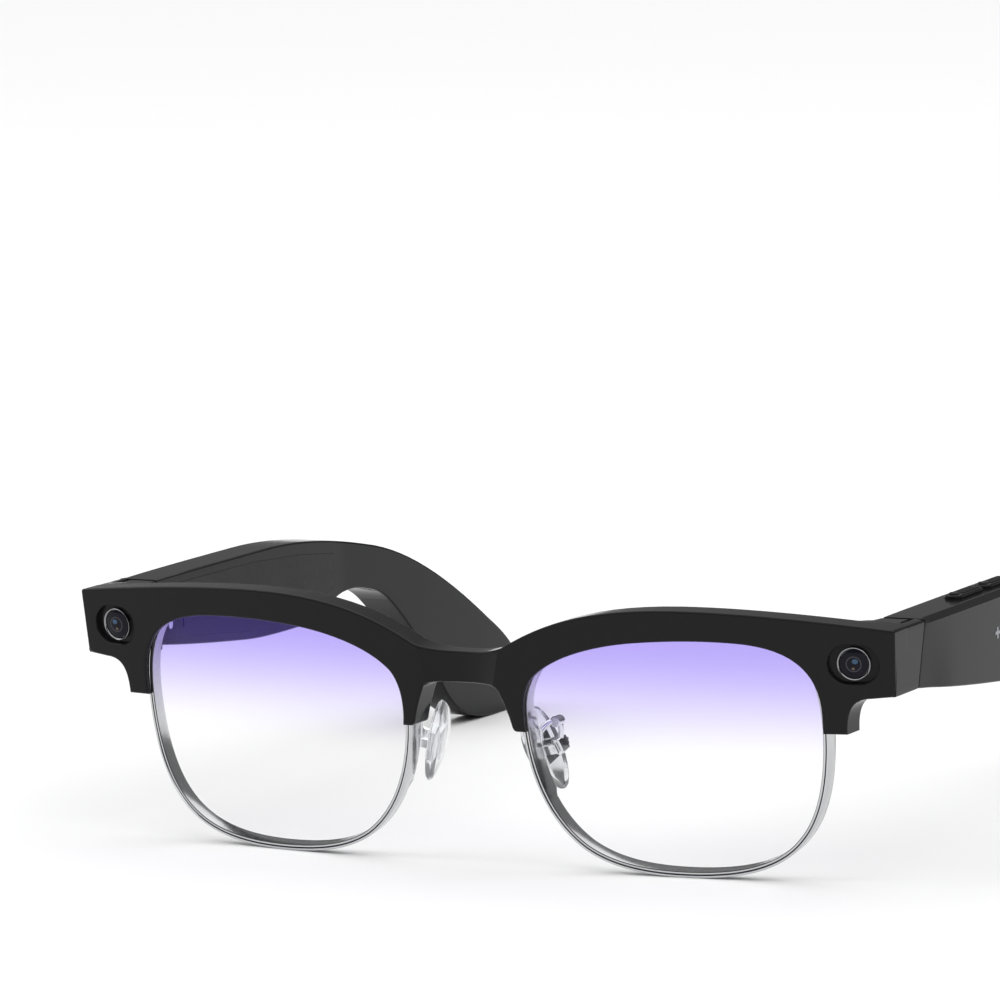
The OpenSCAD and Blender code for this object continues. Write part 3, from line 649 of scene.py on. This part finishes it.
def makeCameraRing(side):
    # a narrow bevelled band round the glass
    radius = camera["ring"]
    profile = [(radius - 0.36, 0.8), (radius - 0.3, 0.6), (radius - 0.24, 0.48), (radius - 0.12, 0.4),
               (radius - 0.04, 0.37), (radius, 0.4), (radius, 1.6), (radius - 0.36, 1.6)]
    return cameraPart("cameraRing", profile, side)


def makeCameraGlassPiece(side):
    # the domed face, closed by a flat back
    reach = camera["ring"] - 0.38
    dome = [(radius, domeY(radius)) for radius in np.linspace(0, reach, 14)]
    return cameraPart("cameraGlass", dome + [(reach, 1.1), (0.0, 1.1)], side, 60)


def makeIris(side):
    # a thin hoop on the glass, about the lens's axis
    inner, outer = 1.12, 1.3
    section = [(inner, domeY(inner) - 0.02), (outer, domeY(outer) - 0.02),
               (outer, domeY(outer) + 0.05), (inner, domeY(inner) + 0.05)]
    turn = np.linspace(0, 2 * np.pi, 72, endpoint=False)
    hoop = [np.stack([r * np.cos(turn), np.full_like(turn, y), r * np.sin(turn)], -1) for r, y in section]
    points, faces = rows(np.stack(hoop), closeRows=True)
    return build("cameraIris" + sideName(side), (atCamera(points, side), faces), 60, weighted=False)


def makePaintedGlint(label, spotX, spotZ, size, side):
    # a small oval patch of painted reflection that follows the glass: a glint of the coated optics, fixed in place
    share = np.array([0.0, 0.5, 1.0, 1.0, 0.0])
    turn = np.linspace(0, 2 * np.pi, 24, endpoint=False)
    x = spotX + size * share[:, None] * np.cos(turn)
    z = spotZ + size * 0.8 * share[:, None] * np.sin(turn)
    y = domeY(np.hypot(x, z)) + np.array([-0.015, -0.015, -0.01, 0.05, 0.05])[:, None]
    points, faces = rows(np.stack([x, y, z], -1))
    return build("cameraPaintedGlint" + label + sideName(side), (atCamera(points, side), faces), 60, weighted=False)


# materials

def material(name):
    # a material with nothing in its node tree yet
    made = bpy.data.materials.new(name)
    made.use_nodes = True
    made.node_tree.nodes.clear()
    return made


def node(tree, kind, inputs=None, **settings):
    # adds a shader node, with a link or a value for each input given
    made = tree.nodes.new(kind)
    for key, value in settings.items():
        setattr(made, key, value)
    for key, value in (inputs or {}).items():
        if isinstance(value, bpy.types.NodeSocket):
            tree.links.new(value, made.inputs[key])
        else:
            made.inputs[key].default_value = value
    return made


def makeGrain():
    # shared effect: a soft two-scale unevenness from 0 to 1, and a matching slight tilt of the surface
    group = bpy.data.node_groups.new("grain", "ShaderNodeTree")
    face = group.interface
    face.new_socket("Size", in_out="INPUT", socket_type="NodeSocketFloat").default_value = 900
    face.new_socket("Depth", in_out="INPUT", socket_type="NodeSocketFloat").default_value = 0.02
    face.new_socket("Mask", in_out="OUTPUT", socket_type="NodeSocketFloat")
    face.new_socket("Normal", in_out="OUTPUT", socket_type="NodeSocketVector")
    given = node(group, "NodeGroupInput")
    where = node(group, "ShaderNodeTexCoord")
    broad = node(group, "ShaderNodeTexNoise", {"Vector": where.outputs["Object"], "Scale": 70.0, "Detail": 2.0})
    fine = node(group, "ShaderNodeTexNoise", {"Vector": where.outputs["Object"], "Scale": given.outputs["Size"],
                                              "Detail": 3.0})
    both = node(group, "ShaderNodeMath", {0: broad.outputs["Fac"], 1: fine.outputs["Fac"]}, operation="ADD")
    half = node(group, "ShaderNodeMath", {0: both.outputs[0], 1: 0.5}, operation="MULTIPLY")
    bump = node(group, "ShaderNodeBump", {"Strength": given.outputs["Depth"], "Distance": 0.0002,
                                          "Height": fine.outputs["Fac"]})
    node(group, "NodeGroupOutput", {"Mask": half.outputs[0], "Normal": bump.outputs["Normal"]})
    return group


grain = makeGrain()


def finish(name, color, rough=0.3, metal=0.0, depth=0.02, size=900.0, spread=0.15, extra=None):
    # a solid finish whose colour and roughness vary a little with the grain
    made = material(name)
    tree = made.node_tree
    texture = tree.nodes.new("ShaderNodeGroup")
    texture.node_tree = grain
    texture.inputs["Size"].default_value = size
    texture.inputs["Depth"].default_value = depth
    dark = [c * (1 - spread) for c in color] + [1]
    light = [min(c * (1 + spread), 1) for c in color] + [1]
    tone = node(tree, "ShaderNodeMix", {"Factor": texture.outputs["Mask"]}, data_type="RGBA")
    tone.inputs[6].default_value = dark
    tone.inputs[7].default_value = light
    roughness = node(tree, "ShaderNodeMapRange", {"Value": texture.outputs["Mask"], "From Min": 0.3, "From Max": 0.7,
                                                  "To Min": rough * 0.85, "To Max": rough * 1.15})
    shader = node(tree, "ShaderNodeBsdfPrincipled", {"Base Color": tone.outputs[2], "Roughness": roughness.outputs[0],
                                                     "Metallic": metal, "Normal": texture.outputs["Normal"]})
    for key, value in (extra or {}).items():
        shader.inputs[key].default_value = value
    node(tree, "ShaderNodeOutputMaterial", {"Surface": shader.outputs[0]})
    return made


blackGloss = finish("blackGloss", (0.0105, 0.0105, 0.0113), 0.12, depth=0.004, size=500.0,
                    extra={"Specular IOR Level": 0.12})
blackTip = finish("blackTip", (0.0105, 0.0105, 0.0113), 0.18, depth=0.006, size=900.0,
                  extra={"Specular IOR Level": 0.12})
blackSatin = finish("blackSatin", (0.008, 0.008, 0.009), 0.4, depth=0.05, size=1500.0,
                    extra={"Specular IOR Level": 0.2})
rimSilver = finish("rimSilver", (0.56, 0.565, 0.575), 0.16, 1.0, depth=0.006, spread=0.04)
grooveBlack = finish("grooveBlack", (0.012, 0.012, 0.014), 0.35, depth=0.02)
armSilver = finish("armSilver", (0.78, 0.79, 0.8), 0.14, 1.0, depth=0.01, spread=0.05)
hingeSteel = finish("hingeSteel", (0.4, 0.4, 0.42), 0.34, 1.0, depth=0.03, spread=0.08)
screwSteel = finish("screwSteel", (0.7, 0.7, 0.72), 0.18, 1.0, depth=0.02, spread=0.06)
ringSilver = finish("ringSilver", (0.24, 0.243, 0.25), 0.14, 1.0, depth=0.01, spread=0.05)
cameraBlack = finish("cameraBlack", (0.008, 0.008, 0.01), 0.4, depth=0.03)
boardGreen = finish("boardGreen", (0.02, 0.11, 0.05), 0.45, depth=0.05, spread=0.3)
flexAmber = finish("flexAmber", (0.45, 0.2, 0.04), 0.35, depth=0.02, spread=0.12)
cellFoil = finish("cellFoil", (0.5, 0.52, 0.55), 0.35, 1.0, depth=0.08, size=400.0, spread=0.1)
speakerBlack = finish("speakerBlack", (0.03, 0.03, 0.034), 0.5, depth=0.05)
contactGold = finish("contactGold", (0.8, 0.58, 0.22), 0.25, 1.0, depth=0.01, spread=0.06)
grilleMesh = finish("grilleMesh", (0.1, 0.1, 0.11), 0.45, 0.8, depth=0.3, size=2500.0)
markGrey = finish("markGrey", (0.34, 0.35, 0.37), 0.45, depth=0.02, spread=0.05)
statusBlue = finish("statusBlue", (0.05, 0.12, 0.9), 0.25, depth=0.01, spread=0.1,
                    extra={"Emission Color": (0.08, 0.2, 1.0, 1), "Emission Strength": 1.2})


def makeTint():
    # tinted lens: violet over the upper half, clearing downwards, with a faint mirror coating
    tint = {
        "clearZ": 18.0,     # the tint ends at this height
        "fullZ": 40.0,      # and is full at this one
        "full": (0.735, 0.67, 0.99),
        "clear": (1.0, 1.0, 1.0),
        "coat": (0.2, 0.13, 0.75),
    }
    made = material("lensViolet")
    tree = made.node_tree
    where = node(tree, "ShaderNodeTexCoord")
    parts = node(tree, "ShaderNodeSeparateXYZ", {0: where.outputs["Object"]})
    ramp = node(tree, "ShaderNodeMapRange", {"Value": parts.outputs["Z"], "From Min": tint["clearZ"] * mm,
                                             "From Max": tint["fullZ"] * mm}, interpolation_type="SMOOTHSTEP")
    tone = node(tree, "ShaderNodeMix", {"Factor": ramp.outputs[0]}, data_type="RGBA")
    tone.inputs[6].default_value = tint["clear"] + (1,)
    tone.inputs[7].default_value = tint["full"] + (1,)
    through = node(tree, "ShaderNodeBsdfTransparent", {"Color": tone.outputs[2]})
    cover = node(tree, "ShaderNodeMapRange", {"Value": ramp.outputs[0], "To Min": 0.02, "To Max": 0.1})
    coat = node(tree, "ShaderNodeMix", {"Factor": ramp.outputs[0]}, data_type="RGBA")
    coat.inputs[6].default_value = (0.6, 0.6, 0.62, 1)
    coat.inputs[7].default_value = tint["coat"] + (1,)
    glass = node(tree, "ShaderNodeBsdfPrincipled", {"Base Color": coat.outputs[2], "Roughness": 0.03, "IOR": 1.5})
    mix = node(tree, "ShaderNodeMixShader", {0: cover.outputs[0], 1: through.outputs[0], 2: glass.outputs[0]})
    node(tree, "ShaderNodeOutputMaterial", {"Surface": mix.outputs[0]})
    return made


def makePadClear():
    # clear silicone, slightly milky
    made = material("padClear")
    tree = made.node_tree
    where = node(tree, "ShaderNodeTexCoord")
    cloud = node(tree, "ShaderNodeTexNoise", {"Vector": where.outputs["Object"], "Scale": 260.0, "Detail": 2.0})
    tone = node(tree, "ShaderNodeMix", {"Factor": cloud.outputs["Fac"]}, data_type="RGBA")
    tone.inputs[6].default_value = (0.86, 0.88, 0.9, 1)
    tone.inputs[7].default_value = (0.94, 0.95, 0.97, 1)
    shader = node(tree, "ShaderNodeBsdfPrincipled", {"Base Color": tone.outputs[2], "Roughness": 0.08, "IOR": 1.41,
                                                     "Transmission Weight": 0.92, "Metallic": 0.0})
    node(tree, "ShaderNodeOutputMaterial", {"Surface": shader.outputs[0]})
    return made


def makeCameraGlass():
    # nearly black coated glass, faintly cloudy at random
    made = material("cameraGlass")
    tree = made.node_tree
    where = node(tree, "ShaderNodeTexCoord")
    cloud = node(tree, "ShaderNodeTexNoise", {"Vector": where.outputs["Object"], "Scale": 200.0})
    tone = node(tree, "ShaderNodeMix", {"Factor": cloud.outputs["Fac"]}, data_type="RGBA")
    tone.inputs[6].default_value = (0.004, 0.004, 0.007, 1)
    tone.inputs[7].default_value = (0.008, 0.008, 0.014, 1)
    shader = node(tree, "ShaderNodeBsdfPrincipled", {"Base Color": tone.outputs[2], "Roughness": 0.04, "IOR": 1.5,
                                                     "Specular IOR Level": 0.12})
    node(tree, "ShaderNodeOutputMaterial", {"Surface": shader.outputs[0]})
    return made


lensViolet = makeTint()
padClear = makePadClear()
cameraGlass = makeCameraGlass()
# painted reflections for the camera glass: the blue one also glows faintly as a painted highlight
paintedGlintBlue = finish("paintedGlintBlue", (0.01, 0.035, 0.08), 0.1, depth=0.0, spread=0.4,
                   extra={"Emission Color": (0.05, 0.3, 0.6, 1), "Emission Strength": 0.06})
paintedGlintAmber = finish("paintedGlintAmber", (0.09, 0.05, 0.025), 0.1, depth=0.0, spread=0.3)
opticRing = finish("opticRing", (0.028, 0.03, 0.04), 0.2, 0.3, depth=0.0)

nodeFinish = {
    "brow_back_strip": blackSatin, "front_flex": flexAmber, "front_screws": screwSteel, "volume_marks": markGrey,
    "touch_film": flexAmber, "charge_contacts": contactGold, "button_board": boardGreen, "main_board": boardGreen,
    "radio_board": boardGreen, "status_light": statusBlue, "brow_frame": blackGloss, "front_button": blackGloss,
    "rear_button": blackGloss, "end_cover": blackSatin, "rim": rimSilver, "lens": lensViolet, "nose_arm": armSilver,
    "nose_pad": padClear, "pad_core": armSilver, "pad_screw": screwSteel, "camera_ring": ringSilver,
    "camera_window": cameraGlass, "camera_barrel": cameraBlack, "camera_board": boardGreen, "hinge_front": hingeSteel,
    "hinge_pin": screwSteel, "hinge_rear": hingeSteel, "temple_case": blackGloss, "temple_cover": blackSatin,
    "temple_screws": screwSteel, "ear_tip": blackTip, "battery": cellFoil, "speaker": speakerBlack,
    "speaker_grille": grilleMesh, "microphone": screwSteel,
}
for name, part in nodes.items():
    chosen = nodeFinish.get(name) or nodeFinish[name.rsplit("_", 1)[0]]
    part.data.materials.clear()
    part.data.materials.append(chosen)
print("finishes made")


# putting the pieces together

def fit(piece, body, slotName, finishMade, *replaced):
    # gives a piece its finish and its body, and hides the CAD nodes that it stands for; slotName is not used
    piece.data.materials.clear()
    piece.data.materials.append(finishMade)
    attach(piece, body)
    if replaced:
        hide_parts(*replaced)
    return piece


fit(makeBrow(), "front", "black_gloss", blackGloss, "brow_frame")
print("brow made")
for side, hand in ((1, "left"), (-1, "right")):
    mark = hand.capitalize()
    fit(makeEndBlock(side), "front", "black_gloss", blackGloss, "brow_frame")
    ringPiece = fit(makeRim(side), "front", "rim_metal", rimSilver, "rim_" + hand)
    ringPiece.data.materials.append(grooveBlack)
    # the rim's faces run round the lens, one band of its section after another: four of them are dark
    order = np.arange(len(ringPiece.data.polygons)) // len(lensEdge)
    dark = (order == 0) | (order >= 3) & (order <= 5)
    ringPiece.data.polygons.foreach_set("material_index", dark.astype(np.int32))
    fit(makeLens(side), "front", "lens_violet", lensViolet, "lens_" + hand)
    fit(makeNoseArm(side), "front", "arm_metal", armSilver, "nose_arm_" + hand)
    cushion = fit(makePad(side), "nose_pad_" + hand, "pad_silicone", padClear, "nose_pad_" + hand)

    fit(makeCameraRing(side), "front", "camera_ring_metal", ringSilver, "camera_ring_" + hand)
    fit(makeCameraGlassPiece(side), "front", "camera_glass", cameraGlass, "camera_window_" + hand)
    fit(makeIris(side), "front", "camera_glass", opticRing)
    # painted reflections on each camera's glass, a blue glint and an amber one
    fit(makePaintedGlint("Blue", 0.25, 0.45, 0.5, side), "front", "camera_glass", paintedGlintBlue)
    fit(makePaintedGlint("Amber", -0.1, -0.75, 0.28, side), "front", "camera_glass", paintedGlintAmber)

    shell = build("templeCase" + mark, mirrored(makeTemple(), side))
    tip = shell.copy()
    tip.data = shell.data.copy()
    tip.name = "earTip" + mark
    bpy.context.scene.collection.objects.link(tip)
    splitAt(tip, temple["split"], False)
    splitAt(shell, temple["split"], True)
    cuts = [mirrored(prism(room, 60, 73.1), side)]
    if side > 0:
        cuts += [upright(buttonPlan(y0, 0.12), [(0, 40), (0, 50)]) for y0 in (button["front"], button["rear"])]
    carve(shell, *cuts)
    fit(shell, "temple_" + hand, "black_gloss", blackGloss, "temple_case_" + hand)
    fit(tip, "temple_" + hand, "tip_black", blackTip, "ear_tip_" + hand)
    discs = makeNoseDiscs(side)
    fit(discs, "temple_" + hand, "black_gloss", blackGloss, "temple_case_" + hand)
print("temples made")
frontButton = makeButton(button["front"], "frontButton")
fit(frontButton, "front_button", "black_gloss", blackGloss, "front_button")
rearButton = makeButton(button["rear"], "rearButton")
fit(rearButton, "rear_button", "black_gloss", blackGloss, "rear_button")
print("buttons made")


# floor, light and camera

def makeFloor():
    # a wide pale sheet under the frame
    low = cadBounds[0][2]
    corners = [(-8, -8, low), (8, -8, low), (8, 8, low), (-8, 8, low)]
    mesh = bpy.data.meshes.new("floor")
    mesh.from_pydata(corners, [], [(0, 1, 2, 3)])
    floor = bpy.data.objects.new("floor", mesh)
    bpy.context.scene.collection.objects.link(floor)
    mesh.materials.append(finish("paleFloor", (0.93, 0.93, 0.93), 0.9, depth=0.0, spread=0.01))


lamps = {
    "softTop": ((0.1, 0.15, 1.5), (2.6, 2.4), 4),       # place, size, power
    "softLeft": ((-1.3, -0.7, 0.8), (0.9, 0.9), 3.2),
    "softRight": ((1.2, -0.9, 0.9), (0.9, 0.9), 1.8),
}
overcast = {"power": 2.6, "spread": 120}


def makeLight(name, place, size, power, target=(0, 0, 0.02)):
    # a rectangular lamp in metres and watts, aimed at target
    lamp = bpy.data.lights.new(name, "AREA")
    lamp.shape = "RECTANGLE"
    lamp.size, lamp.size_y = size
    lamp.energy = power
    holder = bpy.data.objects.new(name, lamp)
    holder.location = place
    holder.rotation_euler = (Vector(target) - Vector(place)).to_track_quat("-Z", "Y").to_euler()
    bpy.context.scene.collection.objects.link(holder)


def makeOvercast(power, spread):
    # even light from overhead, so that the floor is as bright far away as it is beneath the frame
    lamp = bpy.data.lights.new("overcast", "SUN")
    lamp.energy = power
    lamp.angle = math.radians(spread)
    bpy.context.scene.collection.objects.link(bpy.data.objects.new("overcast", lamp))


def makeWorld():
    # a dim white sky, which looks nearly white to the camera itself
    world = bpy.data.worlds.new("studio")
    world.use_nodes = True
    world.node_tree.nodes.clear()
    path = node(world.node_tree, "ShaderNodeLightPath")
    level = node(world.node_tree, "ShaderNodeMapRange", {"Value": path.outputs["Is Camera Ray"],
                                                         "To Min": 0.2, "To Max": 0.97})
    back = node(world.node_tree, "ShaderNodeBackground", {"Color": (1, 1, 1, 1), "Strength": level.outputs[0]})
    node(world.node_tree, "ShaderNodeOutputWorld", {"Surface": back.outputs[0]})
    bpy.context.scene.world = world


def makeCamera():
    # stands off along its azimuth and elevation, rolled about its own axis, and slid across by shift
    shot = {"azimuth": 26.63, "elevation": 7.53, "roll": -1.28, "lens": 238.0, "distance": 1147,
            "shift": (-27.51, 28.75)}
    a, e, r = (math.radians(shot[k]) for k in ("azimuth", "elevation", "roll"))
    right = Vector((math.cos(a), math.sin(a), 0))
    up = Vector((-math.sin(a) * math.sin(e), math.cos(a) * math.sin(e), math.cos(e)))
    back = Vector((math.sin(a) * math.cos(e), -math.cos(a) * math.cos(e), math.sin(e)))
    right, up = math.cos(r) * right + math.sin(r) * up, math.cos(r) * up - math.sin(r) * right
    dx, dy = shot["shift"]
    data = bpy.data.cameras.new("camera")
    data.lens = shot["lens"]
    data.sensor_width = 36
    data.clip_end = 20
    holder = bpy.data.objects.new("camera", data)
    spot = Vector((0, 0, 22.5)) + right * dx + up * dy + back * shot["distance"]
    matrix = Matrix((right, up, back)).transposed().to_4x4()
    matrix.translation = spot * mm
    holder.matrix_world = matrix
    bpy.context.scene.collection.objects.link(holder)
    bpy.context.scene.camera = holder


bpy.context.scene.view_settings.view_transform = "Standard"
makeFloor()
makeOvercast(overcast["power"], overcast["spread"])
for name, (place, size, power) in lamps.items():
    makeLight(name, place, size, power)
makeWorld()
makeCamera()

print("scene ready")
